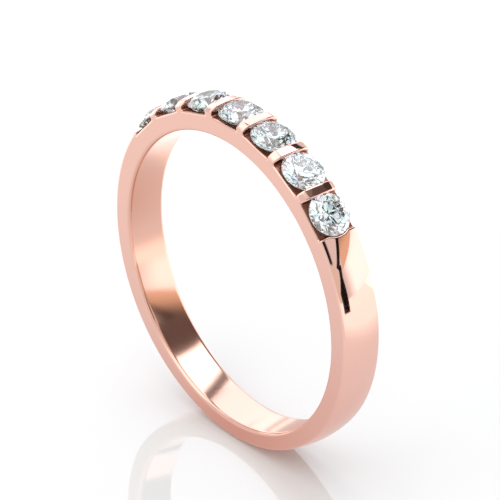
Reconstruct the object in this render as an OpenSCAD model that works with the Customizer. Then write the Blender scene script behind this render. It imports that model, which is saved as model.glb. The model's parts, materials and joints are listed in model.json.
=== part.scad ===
// Half-round wedding band with seven round brilliant diamonds, each held between two transverse bars.
// Millimetres. The origin is the centre of the finger bore, the bore runs along Y, and +Z passes
// through the middle diamond.

/* [Band] */
// Inside diameter of the band, where the finger goes
inner_diameter = 16.5; // [15:0.1:20]
// Width of the band along the finger
band_width = 2.35; // [2.34:0.01:2.8]
// Thickness of the flat side faces under the diamonds
head_wall = 1.36; // [1.32:0.01:1.5]
// Thickness of the flat side faces opposite the diamonds
base_wall = 0.94; // [0.8:0.01:1.2]
// Height of the half-round crest above the edges of the side faces
dome_height = 0.15; // [0.1:0.01:0.3]
// Bevel on the two edges of the bore
bore_bevel = 0.09; // [0.05:0.01:0.12]

/* [Diamonds] */
// Diameter of each diamond at its girdle
stone_diameter = 2.3; // [2.2:0.01:2.32]
// Thickness of the girdle where it is widest
girdle_thickness = 0.08; // [0.05:0.01:0.1]
// Width of the table as a fraction of the diameter
table_ratio = 0.57; // [0.53:0.01:0.62]
// Angle of the crown's kite facets
crown_angle = 34.5; // [32:0.5:36]
// Angle of the pavilion's main facets
pavilion_angle = 40.8; // [40:0.1:41.2]
// Length of the star facets, as a fraction of the way from the table's edge to the girdle
star_ratio = 0.52; // [0.45:0.01:0.6]
// Length of the lower girdle facets, as a fraction of the way from the girdle to the culet
lower_ratio = 0.77; // [0.7:0.01:0.8]

/* [Setting] */
// Height of the diamonds' girdles above the wall of the bore
girdle_height = 1.33; // [1.3:0.01:1.4]
// Width of the notch that each diamond sits in, along the band
notch_width = 2.04; // [1.98:0.01:2.1]
// Height of the notch's flat floor above the wall of the bore
floor_height = 1.06; // [1:0.01:1.1]
// Thickness of each bar where it grips the girdles
bar_width = 0.56; // [0.5:0.01:0.7]
// Height of the bars' crests above the half-round outside of the band
bar_rise = 0.14; // [0.1:0.01:0.18]
// Slope of the bars' ends, down to the edges of the side faces
bar_slope = 38; // [30:1:50]
// Play between a diamond and its seat
seat_play = 0.02; // [0.015:0.005:0.03]

/* [Hidden] */
$fn = 180;
stones = 7;
middle_stone = 4;
// The brilliant cut repeats every eighth of a turn, and each eighth has two halves
eighth = 45;
half = eighth / 2;
// Points of the girdle's outline along one half
steps = 2;

bore_radius = inner_diameter / 2;
// The outside is a circle pushed towards +Z, so the band thickens from the base to the head
rim_radius = bore_radius + (head_wall + base_wall) / 2;
rim_shift = (head_wall - base_wall) / 2;
crest_radius = rim_radius + dome_height;
dome_radius = (pow(band_width / 2, 2) + pow(dome_height, 2)) / (2 * dome_height);

stone_radius = stone_diameter / 2;
girdle_radius = bore_radius + girdle_height;
floor_radius = bore_radius + floor_height;
pitch_angle = 2 * atan((notch_width + bar_width) / 2 / girdle_radius);

table_radius = table_ratio * stone_radius;
crown_height = (stone_radius - table_radius) * tan(crown_angle);
star_start = table_radius * cos(half);
star_radius = star_start + star_ratio * (stone_radius - star_start);
star_height = crown_height - (star_radius * cos(half) - table_radius) * tan(crown_angle);
pavilion_depth = stone_radius * tan(pavilion_angle);
lower_radius = (1 - lower_ratio) * stone_radius;
lower_depth = pavilion_depth - lower_radius * cos(half) * tan(pavilion_angle);

// A point at an angle about the diamond's axis
function polar(radius, angle, height) = [radius * cos(angle), radius * sin(angle), height];
// A list in the opposite order
function reversed(list) = [for (i = [len(list) - 1:-1:0]) list[i]];
// How far the girdle's edge dips at a step, where a facet of the given slope cuts the round outline
function dip(i, slope) =
    slope * stone_radius * (cos((i % steps) * half / steps - half / 2) - cos(half / 2));

// Revolved about Y
module about_y() {
    rotate([90, 0, 0]) rotate_extrude() children();
}

module blank() {
    translate([0, 0, rim_shift]) about_y() intersection() {
        translate([0, -band_width / 2]) square([crest_radius, band_width]);
        translate([crest_radius - dome_radius, 0]) circle(dome_radius);
    }
}

// The six bars between the diamonds, wider than they end up: the notches trim their sides
module bars() {
    edge = band_width / 2;
    spare = bar_rise + dome_height;
    reach = edge - spare / tan(bar_slope);
    intersection() {
        translate([0, 0, rim_shift]) about_y() intersection() {
            polygon([
                [0, -edge], [rim_radius, -edge], [rim_radius + spare, -reach],
                [rim_radius + spare, reach], [rim_radius, edge], [0, edge]
            ]);
            translate([crest_radius + bar_rise - dome_radius, 0]) circle(dome_radius);
        }
        union() for (n = [1:stones - 1]) at_stone(n + 0.5)
            translate([-bar_width, -band_width, floor_radius]) cube([2 * bar_width, 2 * band_width, 3]);
    }
}

module finger_bore() {
    past = 0.5;
    edge = band_width / 2;
    flare = bore_radius + bore_bevel + past;
    about_y() polygon([
        [0, -edge - past], [flare, -edge - past], [bore_radius, bore_bevel - edge],
        [bore_radius, edge - bore_bevel], [flare, edge + past], [0, edge + past]
    ]);
}

// Puts its children at one diamond's place, with +Z pointing out of the finger
module at_stone(n) {
    rotate([0, (middle_stone - n) * pitch_angle, 0]) children();
}

// Flat-floored notch across the band, and the round seat that grips the girdle and holds the pavilion
module setting() {
    top = crest_radius + rim_shift - girdle_radius + 1;
    side = girdle_thickness / 2;
    wide = stone_radius + seat_play;
    crown_slope = star_height / (stone_radius - star_radius);
    translate([-notch_width / 2, -band_width, floor_radius]) cube([notch_width, 2 * band_width, 3]);
    translate([0, 0, girdle_radius]) rotate_extrude() polygon([
        [0, -side - pavilion_depth - seat_play], [lower_radius + seat_play, -side - lower_depth],
        [wide, -side], [wide, side], [star_radius, side + (wide - star_radius) * crown_slope],
        [star_radius, top], [0, top]
    ]);
}

module band() {
    color("rosybrown") difference() {
        union() {
            blank();
            bars();
        }
        finger_bore();
        for (n = [1:stones]) at_stone(n) setting();
    }
}

// Round brilliant of 57 facets, its girdle centred on the origin and its table up
module brilliant() {
    count = 16 * steps;
    turn = 2 * steps;
    side = girdle_thickness / 2;
    upper_slope = star_height / (stone_radius - star_radius) / cos(half / 2);
    lower_slope = lower_depth / (stone_radius - lower_radius) / cos(half / 2);
    table = [for (k = [0:7]) polar(table_radius, k * eighth, side + crown_height)];
    star = [for (k = [0:7]) polar(star_radius, k * eighth + half, side + star_height)];
    top = [for (i = [0:count - 1])
        polar(stone_radius, i * half / steps, side - dip(i, upper_slope))];
    bottom = [for (i = [0:count - 1])
        polar(stone_radius, i * half / steps, dip(i, lower_slope) - side)];
    low = [for (k = [0:7]) polar(lower_radius, k * eighth + half, -side - lower_depth)];
    culet = [[0, 0, -side - pavilion_depth]];
    // Where each ring of points starts in the joined list
    s = 8;
    t = 16;
    b = t + count;
    l = b + count;
    c = l + 8;
    faces = concat(
        [[for (k = [0:7]) k]],
        [for (k = [0:7]) [k, s + k, (k + 1) % 8]],
        [for (k = [0:7]) [k, s + (k + 7) % 8, t + k * turn, s + k]],
        [for (k = [0:7], h = [0, 1]) concat(
            s + k, [for (i = [0:steps]) t + (k * turn + h * steps + i) % count])],
        [for (i = [0:count - 1]) [t + i, b + i, b + (i + 1) % count, t + (i + 1) % count]],
        [for (k = [0:7], h = [0, 1]) concat(
            l + k, [for (i = [steps:-1:0]) b + (k * turn + h * steps + i) % count])],
        [for (k = [0:7]) [c, l + k, b + k * turn, l + (k + 7) % 8]]
    );
    polyhedron(
        points = concat(table, star, top, bottom, low, culet),
        faces = [for (face = faces) reversed(face)]
    );
}

module diamond(n) {
    color("white") at_stone(n) translate([0, 0, girdle_radius]) brilliant();
}

band();
for (n = [1:stones]) diamond(n);
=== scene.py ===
"""Looks of the wedding band: a polished rose gold band and seven brilliant-cut diamonds, in a white studio.

Everything is worked out in millimetres, in the CAD frame: the bore runs along Y and +Z passes through the
middle diamond. put() scales each mesh to metres.
"""

import json
import math

import bpy
import numpy as np
from mathutils import Matrix, Vector


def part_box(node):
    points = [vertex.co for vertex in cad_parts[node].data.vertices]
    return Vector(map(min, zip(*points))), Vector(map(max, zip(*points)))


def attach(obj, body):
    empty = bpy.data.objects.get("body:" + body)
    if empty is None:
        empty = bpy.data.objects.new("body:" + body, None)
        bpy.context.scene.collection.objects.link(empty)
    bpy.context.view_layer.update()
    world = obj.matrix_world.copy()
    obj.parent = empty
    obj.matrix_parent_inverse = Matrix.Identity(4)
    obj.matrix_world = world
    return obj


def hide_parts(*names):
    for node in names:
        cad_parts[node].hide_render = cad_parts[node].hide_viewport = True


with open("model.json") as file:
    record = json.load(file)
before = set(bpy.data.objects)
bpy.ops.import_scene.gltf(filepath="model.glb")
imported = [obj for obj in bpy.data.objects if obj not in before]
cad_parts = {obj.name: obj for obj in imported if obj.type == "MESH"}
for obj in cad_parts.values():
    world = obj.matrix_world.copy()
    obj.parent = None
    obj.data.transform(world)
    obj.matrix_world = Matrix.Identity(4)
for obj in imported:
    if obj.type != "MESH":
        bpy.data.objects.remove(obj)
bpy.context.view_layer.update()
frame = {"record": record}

MM = 0.001

# ---------------------------------------------------------------- sizes, as in the CAD part

BORE = frame["record"]["mounts"][0]["dims"]["r_mm"]
WIDTH = (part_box("band")[1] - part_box("band")[0]).y / MM
HEAD_WALL = 1.36
BASE_WALL = 0.94
DOME_HEIGHT = 0.15
RIM = BORE + (HEAD_WALL + BASE_WALL) / 2
RIM_SHIFT = (HEAD_WALL - BASE_WALL) / 2
DOME = ((WIDTH / 2) ** 2 + DOME_HEIGHT ** 2) / (2 * DOME_HEIGHT)

STONES = 7
MIDDLE = 4
STONE = 2.3 / 2
GIRDLE = 0.08
GIRDLE_HEIGHT = BORE + 1.33
FLOOR_HEIGHT = BORE + 1.06
NOTCH = 2.04
BAR = 0.56
BAR_RISE = 0.14
BAR_SLOPE = math.radians(38)
PLAY = 0.02
PITCH = 2 * math.atan((NOTCH + BAR) / 2 / GIRDLE_HEIGHT)

TABLE = 0.57 * STONE
CROWN_ANGLE = math.radians(34.5)
PAVILION_ANGLE = math.radians(40.8)
STAR_SHARE = 0.52
LOWER_SHARE = 0.77


# ---------------------------------------------------------------- helpers

def put(name, points, faces, normals=None):
    """A mesh object from points in millimetres. With normals it is smooth, without them every face is flat."""
    mesh = bpy.data.meshes.new(name)
    mesh.from_pydata((np.asarray(points) * MM).tolist(), [], faces)
    mesh.update()
    if normals is not None:
        mesh.polygons.foreach_set("use_smooth", [True] * len(mesh.polygons))
        mesh.normals_split_custom_set_from_vertices(normals.tolist())
    made = bpy.data.objects.new(name, mesh)
    bpy.context.scene.collection.objects.link(made)
    return made


def round_max(a, b, size):
    """The larger of two distances, which cuts two shapes to what they share, with the edge rounded."""
    near = np.maximum(size - np.abs(a - b), 0) / size
    return np.maximum(a, b) + near * near * size / 4


# ---------------------------------------------------------------- camera

AZIMUTH = math.radians(51.35)
ELEVATION = math.radians(29.6)
ROLL = math.radians(-0.95)
DISTANCE = 183.8
LENS = 254.7
# How far right of and above the bore's centre the camera aims
AIM = (0.325, 1.365)


def make_camera():
    back = Vector((
        math.sin(AZIMUTH) * math.cos(ELEVATION),
        -math.cos(AZIMUTH) * math.cos(ELEVATION),
        math.sin(ELEVATION),
    ))
    level = Vector((math.cos(AZIMUTH), math.sin(AZIMUTH), 0))
    turn = Matrix.Rotation(ROLL, 3, back)
    right = turn @ level
    up = turn @ back.cross(level)
    data = bpy.data.cameras.new("camera")
    data.lens = LENS
    data.clip_start = 10 * MM
    data.clip_end = 10
    camera = bpy.data.objects.new("camera", data)
    bpy.context.scene.collection.objects.link(camera)
    place = right * AIM[0] + up * AIM[1] + back * DISTANCE
    camera.matrix_world = Matrix.Translation(place * MM) @ Matrix((right, up, back)).transposed().to_4x4()
    bpy.context.scene.camera = camera


# ---------------------------------------------------------------- band

RIM_ROUND = 0.12
BORE_ROUND = 0.25
BAR_ROUND = 0.12
NOTCH_ROUND = 0.1
# The bore is faintly barrel-shaped across its width, as a comfort fit
COMFORT = 18.0
# How much steeper than the crown the bars lean over the girdle
LEAN_OVER = math.radians(6)
# Grid of the band's surface: its spacing at the head, and the number of steps round the plain shank
FINE = 0.04
SHANK_STEPS = 260
# The head's finer part of the grid goes this far past the row of diamonds, as a share of their pitch
HEAD_SPARE = 0.15
# How far from the bore's wall its satin finish and painted warmer tone go, and the width over which they fade
SATIN_AND_BOUNCE_DEPTH = 0.18
SATIN_AND_BOUNCE_FADE = 0.08


def nearest_seat(x, z):
    """Where points are as seen from the nearest diamond: along the band and outwards from the bore's axis."""
    angle = np.arctan2(x, z)
    turned = angle - np.clip(np.round(angle / PITCH), 1 - MIDDLE, STONES - MIDDLE) * PITCH
    radius = np.hypot(x, z)
    return radius * np.sin(turned), radius * np.cos(turned)


def seat_distance(u, y, v):
    """Distance to the cutter of one seat: u runs along the band, v outwards from the bore's axis."""
    notch = round_max(np.abs(u) - NOTCH / 2, FLOOR_HEIGHT - v, NOTCH_ROUND)
    q = np.hypot(u, y)
    wide = STONE + PLAY
    side = GIRDLE / 2
    below = (q - wide) * math.sin(PAVILION_ANGLE) - (v - GIRDLE_HEIGHT + side) * math.cos(PAVILION_ANGLE)
    crown = CROWN_ANGLE + LEAN_OVER
    above = (q - wide) * math.sin(crown) + (v - GIRDLE_HEIGHT - side) * math.cos(crown)
    seat = np.maximum(np.maximum(below, above), q - wide)
    return np.minimum(notch, seat)


def bar_distance(x, y, z):
    """Distance to the nearest bar, before the seats trim its sides."""
    out = np.hypot(x, z - RIM_SHIFT)
    crest = np.hypot(out - (RIM + DOME_HEIGHT + BAR_RISE - DOME), y) - DOME
    end = (np.abs(y) - WIDTH / 2) * math.sin(BAR_SLOPE) + (out - RIM) * math.cos(BAR_SLOPE)
    angle = np.arctan2(x, z)
    nearest = np.clip(np.round(angle / PITCH - 0.5), 1 - MIDDLE, STONES - 1 - MIDDLE) + 0.5
    away = np.abs(np.hypot(x, z) * np.sin(angle - nearest * PITCH)) - BAR
    return np.maximum(round_max(crest, end, BAR_ROUND), np.maximum(away, np.abs(y) - WIDTH / 2))


def band_distance(x, y, z):
    """Signed distance to the band's surface, negative in the metal."""
    dome = np.hypot(np.hypot(x, z - RIM_SHIFT) - (RIM + DOME_HEIGHT - DOME), y) - DOME
    sides = np.abs(y) - WIDTH / 2
    blank = np.minimum(round_max(dome, sides, RIM_ROUND), bar_distance(x, y, z))
    blank = round_max(blank, BORE + y ** 2 / (2 * COMFORT) - np.hypot(x, z), BORE_ROUND)
    along, out = nearest_seat(x, z)
    return round_max(blank, -seat_distance(along, y, out), BAR_ROUND)


def on_grid(angles, widths, radii):
    """The surface where band_distance is zero, as quads over a grid that is bent round the finger."""
    a, w, r = np.meshgrid(angles, widths, radii, indexing="ij")
    value = band_distance(r * np.sin(a), w, r * np.cos(a)).astype(np.float32)
    inside = value < 0
    corners = np.zeros(value.shape, np.int8)
    offsets = [(i, j, k) for i in (0, 1) for j in (0, 1) for k in (0, 1)]
    for offset in offsets:
        corners += np.roll(inside, [-o for o in offset], (0, 1, 2))
    cells = np.argwhere((corners > 0) & (corners < 8))
    number = np.full(value.shape, -1, np.int32)
    number[tuple(cells.T)] = np.arange(len(cells))
    # Each cell's point is the mean of where the surface crosses the cell's edges
    total = np.zeros((len(cells), 3))
    count = np.zeros(len(cells))
    faces = []
    for axis in range(3):
        step = np.eye(3, dtype=int)[axis]
        after = np.roll(value, -1, axis)
        crossed = inside != (after < 0)
        share = np.where(crossed, value / np.where(crossed, value - after, 1), 0)
        for offset in offsets:
            if offset[axis]:
                continue
            at = tuple(((cells + offset) % value.shape).T)
            hit = crossed[at]
            total += hit[:, None] * np.array(offset) + (share[at] * hit)[:, None] * step
            count += hit
        # Each crossed edge is shared by four cells, whose points make one quad
        edges = np.argwhere(crossed)
        second = np.eye(3, dtype=int)[(axis + 1) % 3]
        third = np.eye(3, dtype=int)[(axis + 2) % 3]
        ring = [number[tuple(((edges - s) % value.shape).T)] for s in (0 * step, second, second + third, third)]
        quads = np.stack(ring, 1)
        outward = inside[tuple(edges.T)]
        faces.append(np.where(outward[:, None], quads, quads[:, ::-1]))
    place = cells + total / count[:, None]
    turn = np.append(angles, angles[0] + 2 * math.pi)
    a = np.interp(place[:, 0], np.arange(len(turn)), turn)
    w = np.interp(place[:, 1], np.arange(len(widths)), widths)
    r = np.interp(place[:, 2], np.arange(len(radii)), radii)
    return np.stack([r * np.sin(a), w, r * np.cos(a)], 1), np.concatenate(faces)


def slope(points):
    """Direction in which band_distance grows, at each point."""
    small = 0.004
    parts = []
    for axis in range(3):
        step = np.eye(3)[axis] * small
        parts.append(band_distance(*(points + step).T) - band_distance(*(points - step).T))
    return np.stack(parts, 1) / (2 * small)


def recess_at(points):
    """How deep in a seat each point is: 0 on the polished outside and 1 from just below the girdle down."""
    skin, skin_fade = 0.045, 0.03
    below_girdle, depth_fade = 0.02, 0.12
    polished_edge, edge_fade = 0.05, 0.06
    x, y, z = points.T
    along, out = nearest_seat(x, z)
    cut = np.clip((skin - seat_distance(along, y, out)) / skin_fade, 0, 1)
    deep = np.clip((GIRDLE_HEIGHT - below_girdle - out) / depth_fade, 0, 1)
    return cut * deep * np.clip((WIDTH / 2 - polished_edge - np.abs(y)) / edge_fade, 0, 1)


def make_band():
    reach = (STONES / 2 + HEAD_SPARE) * PITCH
    head = np.arange(-reach, reach, FINE / RIM)
    shank = np.linspace(reach, 2 * math.pi - reach, SHANK_STEPS, endpoint=False)
    # The grid goes a few cells past the metal on every side
    crest = RIM + RIM_SHIFT + DOME_HEIGHT + BAR_RISE
    widths = np.arange(-WIDTH / 2 - 2.5 * FINE, WIDTH / 2 + 3 * FINE, FINE)
    radii = np.arange(BORE - 2.5 * FINE, crest + 3 * FINE, FINE)
    points, faces = on_grid(np.concatenate([head, shank]), widths, radii)
    # Newton's steps move each point onto the surface, none of them too far where the slope is small
    for _ in range(3):
        grown = slope(points)
        size = np.maximum((grown ** 2).sum(1), 0.25)
        points = points - grown * (band_distance(*points.T) / size)[:, None]
    normals = slope(points)
    normals /= np.linalg.norm(normals, axis=1)[:, None]
    band = put("band_gold", points, faces.tolist(), normals)
    inside = np.clip((BORE + SATIN_AND_BOUNCE_DEPTH - np.hypot(points[:, 0], points[:, 2])) / SATIN_AND_BOUNCE_FADE, 0, 1)
    for name, values in (("recess", recess_at(points)), ("inside", inside)):
        band.data.attributes.new(name, "FLOAT", "POINT").data.foreach_set("value", values)
    band.data.materials.append(rose_gold())
    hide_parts("band")
    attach(band, "root")


# ---------------------------------------------------------------- diamonds

# How far each diamond is turned about its own axis: a setter drops them in as they come
SPINS = [8, 31, 17, 40, 3, 24, 36]
# Points of the girdle's outline along one girdle facet
GIRDLE_STEPS = 6


def brilliant(steps):
    """Points and faces of a round brilliant of 57 facets, its girdle centred on the origin and its table up."""
    eighth = math.pi / 4
    half = eighth / 2
    count = 16 * steps
    turn = 2 * steps
    side = GIRDLE / 2
    crown = (STONE - TABLE) * math.tan(CROWN_ANGLE)
    start = TABLE * math.cos(half)
    star = start + STAR_SHARE * (STONE - start)
    star_up = crown - (star * math.cos(half) - TABLE) * math.tan(CROWN_ANGLE)
    depth = STONE * math.tan(PAVILION_ANGLE)
    low = (1 - LOWER_SHARE) * STONE
    low_down = depth - low * math.cos(half) * math.tan(PAVILION_ANGLE)

    def ring(radius, height, number, first=0.0):
        angles = first + np.arange(number) * 2 * math.pi / number
        return np.stack([radius * np.cos(angles), radius * np.sin(angles), height + 0 * angles], 1)

    # A girdle facet cuts the round outline in an arc that dips between its two ends
    swing = np.arange(count) % steps * half / steps - half / 2
    bulge = STONE * (np.cos(swing) - math.cos(half / 2)) / math.cos(half / 2)
    top = ring(STONE, side - bulge * star_up / (STONE - star), count)
    bottom = ring(STONE, bulge * low_down / (STONE - low) - side, count)
    points = np.concatenate([
        ring(TABLE, side + crown, 8),
        ring(star, side + star_up, 8, half),
        top, bottom,
        ring(low, -side - low_down, 8, half),
        [[0, 0, -side - depth]],
    ])
    # Where each ring of points starts: stars, top and bottom of the girdle, lower facets, culet
    s, t = 8, 16
    b = t + count
    l = b + count
    c = l + 8
    faces = [list(range(8))]
    for k in range(8):
        faces.append([k, s + k, (k + 1) % 8])
        faces.append([k, s + (k + 7) % 8, t + k * turn, s + k])
        faces.append([c, l + k, b + k * turn, l + (k + 7) % 8])
        for h in (0, 1):
            span = [(k * turn + h * steps + i) % count for i in range(steps + 1)]
            faces.append([s + k] + [t + i for i in span])
            faces.append([l + k] + [b + i for i in reversed(span)])
    facets = len(faces)
    for i in range(count):
        j = (i + 1) % count
        faces.append([t + i, b + i, b + j, t + j])
    return points, faces, facets


def make_diamond(number, facet_material, girdle_material):
    points, faces, facets = brilliant(GIRDLE_STEPS)
    spin = Matrix.Rotation(math.radians(SPINS[number - 1]), 3, "Z")
    tilt = Matrix.Rotation((MIDDLE - number) * PITCH, 3, "Y")
    place = np.array(tilt @ spin)
    centre = np.array(tilt @ Vector((0, 0, GIRDLE_HEIGHT)))
    stone = put(f"brilliant_{number}", points @ place.T + centre, faces)
    stone.data.materials.append(facet_material)
    stone.data.materials.append(girdle_material)
    for i, polygon in enumerate(stone.data.polygons):
        polygon.material_index = int(i >= facets)
    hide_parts(f"diamond_{number}")
    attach(stone, "root")


# ---------------------------------------------------------------- materials

GOLD = (0.85, 0.54, 0.46, 1)
GOLD_DEEP = (0.83, 0.52, 0.44, 1)
# The inside's colour: gold tinted warmer, a painted reflection of the warm light bounced round the bore
GOLD_INSIDE_PAINTED_BOUNCE = (0.82, 0.49, 0.39, 1)
# The seats' colour: gold darkened to brown, painted shade for the dark under the diamonds
SEAT_PAINTED_SHADE = (0.36, 0.16, 0.105, 1)
INSIDE_ROUGHNESS = 0.14
SEAT_ROUGHNESS = 0.38
DIAMOND_IOR = 2.417


def new_material(name, **values):
    """A material and its Principled node, whose sockets take the values given by name."""
    made = bpy.data.materials.new(name)
    made.use_nodes = True
    shader = made.node_tree.nodes["Principled BSDF"]
    for socket, value in values.items():
        shader.inputs[socket.replace("_", " ")].default_value = value
    return made, shader


def add(made, kind, inputs=None, **settings):
    """A new node of the material, with its settings and the values of its inputs."""
    node = made.node_tree.nodes.new(f"ShaderNode{kind}")
    for name, value in settings.items():
        setattr(node, name, value)
    for name, value in (inputs or {}).items():
        node.inputs[name].default_value = value
    return node


def rose_gold():
    """Polished 14 carat rose gold, faintly cloudy. The inside is satin, tinted warmer as painted bounced light; the
    seats are dull and darkened with painted shade.
    """
    made, shader = new_material("rose_gold", Metallic=1.0, Roughness=0.05)
    join = made.node_tree.links.new
    place = add(made, "TexCoord").outputs["Object"]
    cloud = add(made, "TexNoise", {"Scale": 260.0, "Detail": 3.0})
    join(place, cloud.inputs["Vector"])
    tint = add(made, "Mix", {"A": GOLD, "B": GOLD_DEEP}, data_type="RGBA")
    join(cloud.outputs["Fac"], tint.inputs["Factor"])
    polish = add(made, "MapRange", {"From Min": 0.3, "From Max": 0.7, "To Min": 0.035, "To Max": 0.075})
    join(cloud.outputs["Fac"], polish.inputs["Value"])
    colour, rough = tint.outputs["Result"], polish.outputs["Result"]
    # The inside's warmer tone is a painted reflection of light bounced round the bore, and the seats' dark brown is
    # painted shade; their roughness is their real finish
    for part, shade, matt in (("inside", GOLD_INSIDE_PAINTED_BOUNCE, INSIDE_ROUGHNESS), ("recess", SEAT_PAINTED_SHADE, SEAT_ROUGHNESS)):
        mask = add(made, "Attribute", attribute_name=part).outputs["Fac"]
        painted_tone = add(made, "Mix", {"B": shade}, data_type="RGBA")
        join(mask, painted_tone.inputs["Factor"])
        join(colour, painted_tone.inputs["A"])
        dull = add(made, "Mix", {"B": matt}, data_type="FLOAT")
        join(mask, dull.inputs["Factor"])
        join(rough, dull.inputs["A"])
        colour, rough = painted_tone.outputs["Result"], dull.outputs["Result"]
    join(colour, shader.inputs["Base Color"])
    join(rough, shader.inputs["Roughness"])
    return made


def diamond():
    """Clear, with flecks of faint blue and green painted into its colour, standing in for the colours that a cut
    diamond splits light into.
    """
    made, shader = new_material(
        "diamond", Base_Color=(1, 1, 1, 1), Roughness=0.0, IOR=DIAMOND_IOR, Transmission_Weight=1.0)
    join = made.node_tree.links.new
    flash = add(made, "TexNoise", {"Scale": 1400.0, "Detail": 0.0})
    join(add(made, "TexCoord").outputs["Object"], flash.inputs["Vector"])
    ramp = add(made, "ValToRGB")
    stops = ramp.color_ramp.elements
    stops[0].position, stops[0].color = 0.36, (0.8, 0.87, 1, 1)
    stops[1].position, stops[1].color = 0.64, (0.84, 1, 0.95, 1)
    stops.new(0.5).color = (0.95, 0.99, 1, 1)
    join(flash.outputs["Fac"], ramp.inputs["Fac"])
    join(ramp.outputs["Color"], shader.inputs["Base Color"])
    return made


def frosted():
    """The girdle's bruted edge, ground unevenly."""
    made, shader = new_material("girdle", Base_Color=(0.9, 0.95, 0.97, 1), IOR=DIAMOND_IOR, Transmission_Weight=1.0)
    join = made.node_tree.links.new
    grain = add(made, "TexNoise", {"Scale": 9000.0, "Detail": 2.0})
    join(add(made, "TexCoord").outputs["Object"], grain.inputs["Vector"])
    rough = add(made, "MapRange", {"From Min": 0.3, "From Max": 0.7, "To Min": 0.25, "To Max": 0.5})
    join(grain.outputs["Fac"], rough.inputs["Value"])
    join(rough.outputs["Result"], shader.inputs["Roughness"])
    return made


# ---------------------------------------------------------------- studio

# How far the soft lights stand from the ring. Dark cards stand nearer, so that they cover the lights
CARD_DISTANCE = 400
NEAR_CARD = 0.82
ROOM = (0.92, 0.92, 0.92, 1)
FLOOR_REACH = 1500
# How far from the ring's foot the floor's shade ends, and the radius of the dome that the diamonds see
SHADE_REACH = 100
TENT = 300

# Lights on the floor: name, azimuth, elevation, width and height in degrees, glow
FLOOR_LIGHTS = [
    ("sky_light", 0, 90, 120, 120, 0.14),
    ("ceiling_light", -120, 76, 60, 50, 0.9),
    ("front_light", -95, 38, 40, 36, 1.0),
    ("left_light", 148, 40, 56, 54, 1.0),
]
# What the metal sees, with soft edges: the same, but with a colour and the width of the edges in millimetres
SOFT_LIGHTS = [
    ("ceiling_glow", -120, 76, 64, 54, (1.85, 1.85, 1.85, 1), 90),
    ("front_glow", -95, 38, 44, 40, (1.9, 1.9, 1.9, 1), 50),
    ("left_glow", 148, 40, 60, 56, (1.86, 1.83, 2, 1), 40),
    ("low_glow", 168, 12, 56, 21, (1.87, 1.84, 1.95, 1), 40),
    ("back_glow", 86, 61, 52, 28, (2.7, 2.8, 2.95, 1), 22),
    ("right_glow", 58, 9, 74, 46, (1.8, 1.83, 1.87, 1), 130),
    ("camera_card", -3, 31, 28, 21, (0.02, 0.02, 0.02, 1), 14),
]
# Corners of the black card beside the ring, in millimetres, which makes the jagged streak on the shank
STREAK = [(38.4, 5.3, -2.5), (37.6, 9.7, -2.5), (37.6, 9.2, 10), (37.4, 10.9, 14.5), (37.9, 8.4, 14.5),
          (38, 6.8, 10), (38.4, 4.6, 5)]
# Corners of the two brown cards to the right of the ring, as azimuth and elevation
CORNER = [(21, 15), (60, 22), (66, 44), (67, 50), (63, 55), (22, 53), (24, 47), (33, 38)]
UPPER = [(22, 53), (63, 55), (55, 61), (50, 72), (5, 72)]


def toward(azimuth, elevation):
    """Direction from the ring, the azimuth going from +X to +Y."""
    a, e = math.radians(azimuth), math.radians(elevation)
    return Vector((math.cos(a) * math.cos(e), math.sin(a) * math.cos(e), math.sin(e)))


def stand(made, azimuth, elevation, lean=0.0, size=1.0):
    """Puts a flat thing on a sphere round the ring and turns it to face the ring."""
    out = toward(azimuth, elevation)
    side = Vector((-out.y, out.x, 0)).normalized() if elevation < 90 else Vector((0, 1, 0))
    turn = Matrix.Rotation(math.radians(lean), 3, out)
    axes = Matrix((turn @ side, turn @ out.cross(side), out)).transposed().to_4x4()
    made.matrix_world = Matrix.Translation(out * CARD_DISTANCE * size * MM) @ axes @ Matrix.Scale(size, 4)


def across(degrees):
    """Size of a flat thing at the cards' distance that fills this angle as seen from the ring."""
    return 2 * CARD_DISTANCE * math.tan(math.radians(degrees) / 2)


def floor_light(name, azimuth, elevation, wide, high, glow):
    """A rectangular light on the floor, its width and height in degrees as seen from the ring."""
    data = bpy.data.lights.new(name, "AREA")
    data.shape = "RECTANGLE"
    data.size = across(wide) * MM
    data.size_y = across(high) * MM
    data.energy = glow * math.pi * data.size * data.size_y
    made = bpy.data.objects.new(name, data)
    bpy.context.scene.collection.objects.link(made)
    for rays in ("camera", "glossy", "transmission"):
        setattr(made, f"visible_{rays}", False)
    stand(made, azimuth, elevation)


def square(x, y, z=0.0):
    """Corners of a level rectangle round the Z axis that reaches x and y to each side."""
    return [(-x, -y, z), (x, -y, z), (x, y, z), (-x, y, z)]


def card(name, corners, material):
    """A flat thing that only the polished metal and the diamonds see."""
    made = put(name, corners, [list(range(len(corners)))])
    made.data.materials.append(material)
    made.visible_camera = False
    made.visible_diffuse = False
    made.visible_shadow = False
    return made


def far_card(name, azimuth, elevation, wide, high, material, lean=0.0, size=NEAR_CARD):
    """A card on a sphere round the ring, its width and height in degrees as seen from the ring."""
    made = card(name, square(across(wide) / 2, across(high) / 2), material)
    stand(made, azimuth, elevation, lean, size)


def round_card(name, places, material):
    """A card whose corners are on a sphere round the ring, at the azimuths and elevations given."""
    card(name, [toward(*place) * CARD_DISTANCE * NEAR_CARD for place in places], material)


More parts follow.
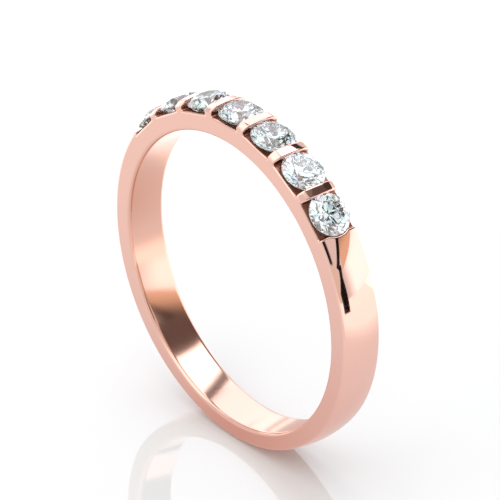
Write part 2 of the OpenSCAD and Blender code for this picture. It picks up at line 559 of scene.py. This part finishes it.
def soft_light(name, azimuth, elevation, wide, high, colour, fade):
    """A softbox or dark cloth as the polished metal sees it: at its edges it fades into the white of the room."""
    made = glowing(name, colour)
    join = made.node_tree.links.new
    split = add(made, "SeparateXYZ")
    join(add(made, "TexCoord").outputs["Object"], split.inputs[0])
    inside = None
    for axis, reach in (("X", across(wide) / 2), ("Y", across(high) / 2)):
        away = add(made, "Math", operation="ABSOLUTE")
        join(split.outputs[axis], away.inputs[0])
        ends = {"From Min": (reach - fade) * MM, "From Max": reach * MM, "To Min": 1.0, "To Max": 0.0}
        fall = add(made, "MapRange", ends, interpolation_type="SMOOTHSTEP")
        join(away.outputs["Value"], fall.inputs["Value"])
        if inside is None:
            inside = fall.outputs["Result"]
        else:
            both = add(made, "Math", operation="MULTIPLY")
            join(inside, both.inputs[0])
            join(fall.outputs["Result"], both.inputs[1])
            inside = both.outputs["Value"]
    tint = add(made, "Mix", {"A": ROOM, "B": colour}, data_type="RGBA")
    join(inside, tint.inputs["Factor"])
    join(tint.outputs["Result"], made.node_tree.nodes["Principled BSDF"].inputs["Emission Color"])
    far_card(name, azimuth, elevation, wide, high, made, size=1.0)


def glowing(name, colour, strength=1.0):
    """A material that only glows, and reflects nothing."""
    made, shader = new_material(name, Base_Color=(0, 0, 0, 1), Roughness=1.0, Specular_IOR_Level=0.0)
    shader.inputs["Emission Color"].default_value = colour
    shader.inputs["Emission Strength"].default_value = strength
    return made


def sweep(name, first, last, start, end):
    """Glow that turns from the first colour to the last between two heights in millimetres."""
    made = glowing(name, first)
    join = made.node_tree.links.new
    split = add(made, "SeparateXYZ")
    join(add(made, "TexCoord").outputs["Object"], split.inputs[0])
    along = add(made, "MapRange", {"From Min": start * MM, "From Max": end * MM}, interpolation_type="SMOOTHSTEP")
    join(split.outputs["Z"], along.inputs["Value"])
    colour = add(made, "Mix", {"A": first, "B": last}, data_type="RGBA")
    join(along.outputs["Result"], colour.inputs["Factor"])
    join(colour.outputs["Result"], made.node_tree.nodes["Principled BSDF"].inputs["Emission Color"])
    return made


def shaded_floor():
    """The floor as the polished metal sees it: dim and warm at the ring's foot, bright to the right and behind."""
    made = glowing("floor_shade", (1, 1, 1, 1))
    join = made.node_tree.links.new
    shader = made.node_tree.nodes["Principled BSDF"]
    diagonal = math.sqrt(0.5)
    place = add(made, "TexCoord").outputs["Object"]
    size = add(made, "VectorMath", operation="LENGTH")
    join(place, size.inputs[0])
    far = add(made, "MapRange", {"From Max": SHADE_REACH * MM})
    join(size.outputs["Value"], far.inputs["Value"])
    ramp = add(made, "ValToRGB")
    stops = ramp.color_ramp.elements
    stops[0].position, stops[0].color = 0.0, (0.62, 0.45, 0.41, 1)
    stops[1].position, stops[1].color = 1.0, (1, 0.98, 0.95, 1)
    for distance, colour in ((3, (0.68, 0.53, 0.49, 1)), (5.5, (0.75, 0.66, 0.64, 1)), (13, (0.85, 0.82, 0.82, 1)),
                             (28, (0.95, 0.93, 0.92, 1))):
        stops.new(distance / SHADE_REACH).color = colour
    join(far.outputs["Result"], ramp.inputs["Fac"])
    join(ramp.outputs["Color"], shader.inputs["Emission Color"])
    # Each row: a direction on the floor, where the glow starts and stops to grow in it, and the glow there
    total = add(made, "Math", operation="ADD")
    rows = [((diagonal, diagonal, 0), 22, 40, 1.1, 1.6), ((-diagonal, diagonal, 0), 9.5, 15, 0.0, 0.6)]
    for number, (direction, start, end, first, last) in enumerate(rows):
        along = add(made, "VectorMath", {1: direction}, operation="DOT_PRODUCT")
        join(place, along.inputs[0])
        ends = {"From Min": start * MM, "From Max": end * MM, "To Min": first, "To Max": last}
        glow = add(made, "MapRange", ends, interpolation_type="SMOOTHSTEP")
        join(along.outputs["Value"], glow.inputs["Value"])
        join(glow.outputs["Result"], total.inputs[number])
    join(total.outputs["Value"], shader.inputs["Emission Strength"])
    # Seen from below it is clear, so that the floor can mirror the ring
    clear = add(made, "Math", {0: 1.0}, operation="SUBTRACT")
    join(add(made, "NewGeometry").outputs["Backfacing"], clear.inputs[1])
    join(clear.outputs["Value"], shader.inputs["Alpha"])
    return made


def make_tent():
    """A dome that only light leaving the diamonds meets. Its pale and dark patches make their facets flash."""
    made = glowing("tent", (1, 1, 1, 1), 1.25)
    join = made.node_tree.links.new
    cells = add(made, "TexVoronoi", {"Scale": 3.2 / (TENT * MM)})
    join(add(made, "TexCoord").outputs["Object"], cells.inputs["Vector"])
    ramp = add(made, "ValToRGB")
    ramp.color_ramp.interpolation = "CONSTANT"
    stops = ramp.color_ramp.elements
    stops[0].position, stops[0].color = 0.0, (0.01, 0.01, 0.01, 1)
    stops[1].position, stops[1].color = 0.24, (0.22, 0.29, 0.33, 1)
    for place, colour in ((0.36, (0.5, 0.66, 0.75, 1)), (0.46, (0.66, 0.86, 0.78, 1)), (0.56, (1, 1, 1, 1))):
        stops.new(place).color = colour
    split = add(made, "SeparateColor")
    join(cells.outputs["Color"], split.inputs["Color"])
    join(split.outputs["Red"], ramp.inputs["Fac"])
    join(ramp.outputs["Color"], made.node_tree.nodes["Principled BSDF"].inputs["Emission Color"])
    rows, columns = 16, 32
    points = []
    for row in range(rows + 1):
        for column in range(columns):
            down, turn = math.pi * row / rows, 2 * math.pi * column / columns
            points.append([TENT * math.sin(down) * math.cos(turn), TENT * math.sin(down) * math.sin(turn),
                           TENT * math.cos(down)])
    faces = []
    for row in range(rows):
        for column in range(columns):
            after = (column + 1) % columns
            faces.append([row * columns + column, (row + 1) * columns + column,
                          (row + 1) * columns + after, row * columns + after])
    tent = put("tent", points, faces)
    tent.data.materials.append(made)
    for rays in ("camera", "diffuse", "glossy", "shadow"):
        setattr(tent, f"visible_{rays}", False)


def make_studio():
    scene = bpy.context.scene
    scene.view_settings.view_transform = "Standard"
    scene.cycles.max_bounces = 32
    scene.cycles.glossy_bounces = 24
    scene.cycles.transmission_bounces = 24
    world = bpy.data.worlds.new("studio")
    scene.world = world
    world.use_nodes = True
    world.node_tree.nodes["Background"].inputs["Color"].default_value = (1, 1, 1, 1)
    world.node_tree.nodes["Background"].inputs["Strength"].default_value = 0.9

    low = BASE_WALL + DOME_HEIGHT + BORE
    ground = put("floor", square(FLOOR_REACH, FLOOR_REACH, -low), [[0, 1, 2, 3]])
    pale, _ = new_material("floor", Base_Color=(0.635, 0.645, 0.64, 1), Roughness=0.02, Specular_IOR_Level=0.75)
    ground.data.materials.append(pale)

    for row in FLOOR_LIGHTS:
        floor_light(*row)
    for row in SOFT_LIGHTS:
        soft_light(*row)
    black = glowing("black_card", (1, 1, 1, 1), 0.01)
    far_card("warm_card", -5, 6, 34, 30, glowing("tan_card", (1, 0.94, 0.82, 1), 0.9))
    card("side_card", STREAK, black)
    round_card("corner_card", CORNER, sweep("brown_glow", (0.95, 0.7, 0.5, 1), (0.14, 0.11, 0.1, 1), 118, 185))
    round_card("upper_card", UPPER, glowing("pale_brown", (1, 0.9, 0.85, 1), 0.26))
    far_card("edge_card", 27, 27, 3.5, 30, black, lean=-50, size=0.75)
    far_card("under_card", 80, 36, 34, 20, glowing("dark_card", (1, 0.82, 0.75, 1), 0.07))
    far_card("gap_card", 118.5, 54.5, 7.2, 48, glowing("grey_card", (0.8, 1, 0.92, 1), 0.04), lean=-60)
    shade = card("floor_shade", square(CARD_DISTANCE, CARD_DISTANCE), shaded_floor())
    # It lies a hair above the floor
    shade.location.z = (0.04 - low) * MM
    make_tent()


make_camera()
make_band()
stone_materials = diamond(), frosted()
for stone_number in range(1, STONES + 1):
    make_diamond(stone_number, *stone_materials)
make_studio()
